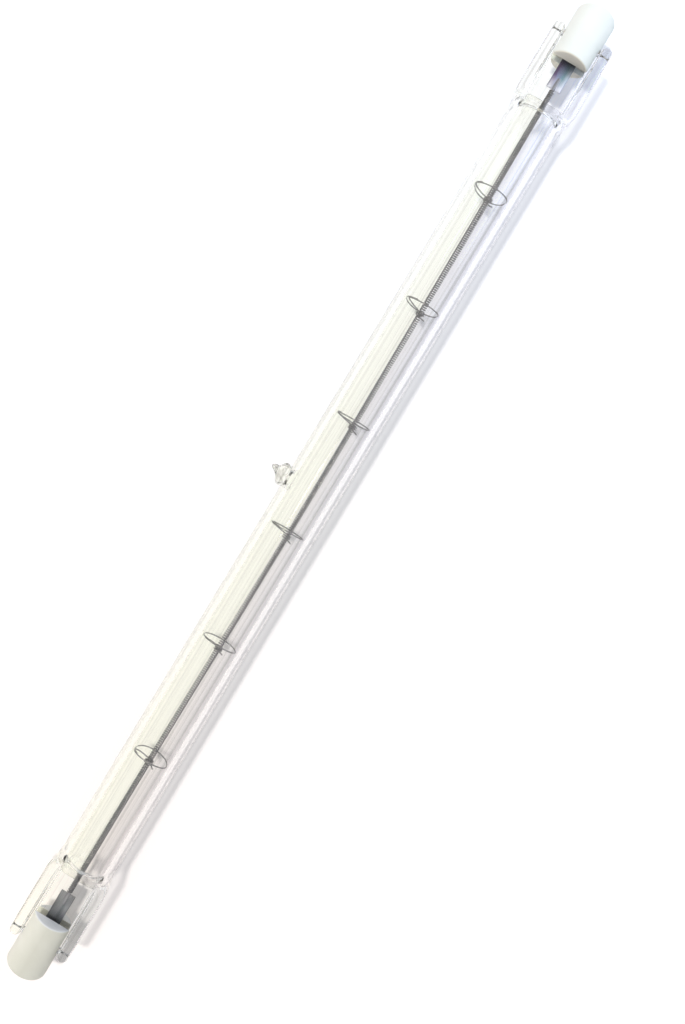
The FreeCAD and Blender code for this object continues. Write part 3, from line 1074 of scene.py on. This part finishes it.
def main():
    make_camera()
    make_glass(quartz_material())
    tungsten = metal_material(
        "tungsten", (0.16, 0.16, 0.17), (0.34, 0.33, 0.33), (0.32, 0.5), (900.0, 3000.0, 3000.0),
    )
    wire = metal_material(
        "molybdenum_wire", (0.2, 0.2, 0.22), (0.42, 0.42, 0.45), (0.25, 0.42), (300.0, 4000.0, 4000.0),
    )
    nickel = metal_material(
        "nickel_contact", (0.55, 0.54, 0.52), (0.74, 0.73, 0.7), (0.2, 0.36), (2200.0, 2200.0, 2200.0),
    )
    make_coil(tungsten)
    for number in range(1, support_count + 1):
        make_support(number, tungsten)
    grey_foil = foil_material(
        "grey_foil", -1,
        pale=((0.12, 0.12, 0.13), (0.36, 0.36, 0.37)),
        across=(
            (0.1, (0.3, 0.31, 0.33)), (0.35, (0.13, 0.14, 0.16)),
            (0.6, (0.27, 0.28, 0.29)), (0.9, (0.16, 0.16, 0.17)),
        ),
        dark=((0.06, 0.07, 0.09), (0.15, 0.16, 0.19)),
    )
    blue_foil = foil_material(
        "blue_foil", 1,
        pale=((0.5, 0.5, 0.62), (0.85, 0.85, 0.92)),
        across=(
            (0.1, (0.5, 0.58, 0.68)), (0.35, (0.18, 0.32, 0.38)),
            (0.6, (0.24, 0.26, 0.46)), (0.85, (0.14, 0.1, 0.22)),
        ),
        dark=((0.02, 0.02, 0.025), (0.08, 0.08, 0.1)),
    )
    # The two caps are one ceramic with light painted in: the left is painted cream and the right painted
    # bluish, with painted light on their sides and on the ends that face the tube.
    painted_cream_ceramic = ceramic_material(
        "ceramic_painted_cream_light", (0.77, 0.77, 0.69), (0.85, 0.85, 0.78),
        sides=((0.0, grey(0.92)), (0.5, (0.82, 0.82, 0.81)), (0.88, grey(1.0))),
        inner=(-1, (0.88, 0.91, 0.95), (0.93, 0.95, 0.98)),
    )
    painted_blue_ceramic = ceramic_material(
        "ceramic_painted_blue_light", (0.84, 0.91, 0.93), (0.9, 0.95, 0.96),
        sides=((0.1, grey(1.0)), (0.6, grey(1.0)), (0.95, (1.0, 0.97, 0.93))),
        inner=(1, (0.94, 0.9, 0.78), (0.96, 0.93, 0.84)),
    )
    cement = ceramic_material("cement", (0.86, 0.84, 0.76), (0.92, 0.9, 0.84))
    for side, direction, ceramic, foil in (("left", -1, painted_cream_ceramic, grey_foil), ("right", 1, painted_blue_ceramic, blue_foil)):
        make_cap(side, direction, ceramic)
        make_contact(side, direction, nickel)
        make_foil(side, direction, foil)
        dress_node(f"inner_lead_{side}", wire)
        dress_node(f"outer_lead_{side}", wire)
        dress_node(f"cap_cement_{side}", cement)
    make_sheet()
    make_world()
    make_lights()
    follow_light_in_glass()
    bpy.context.scene.view_settings.view_transform = "Standard"


main()
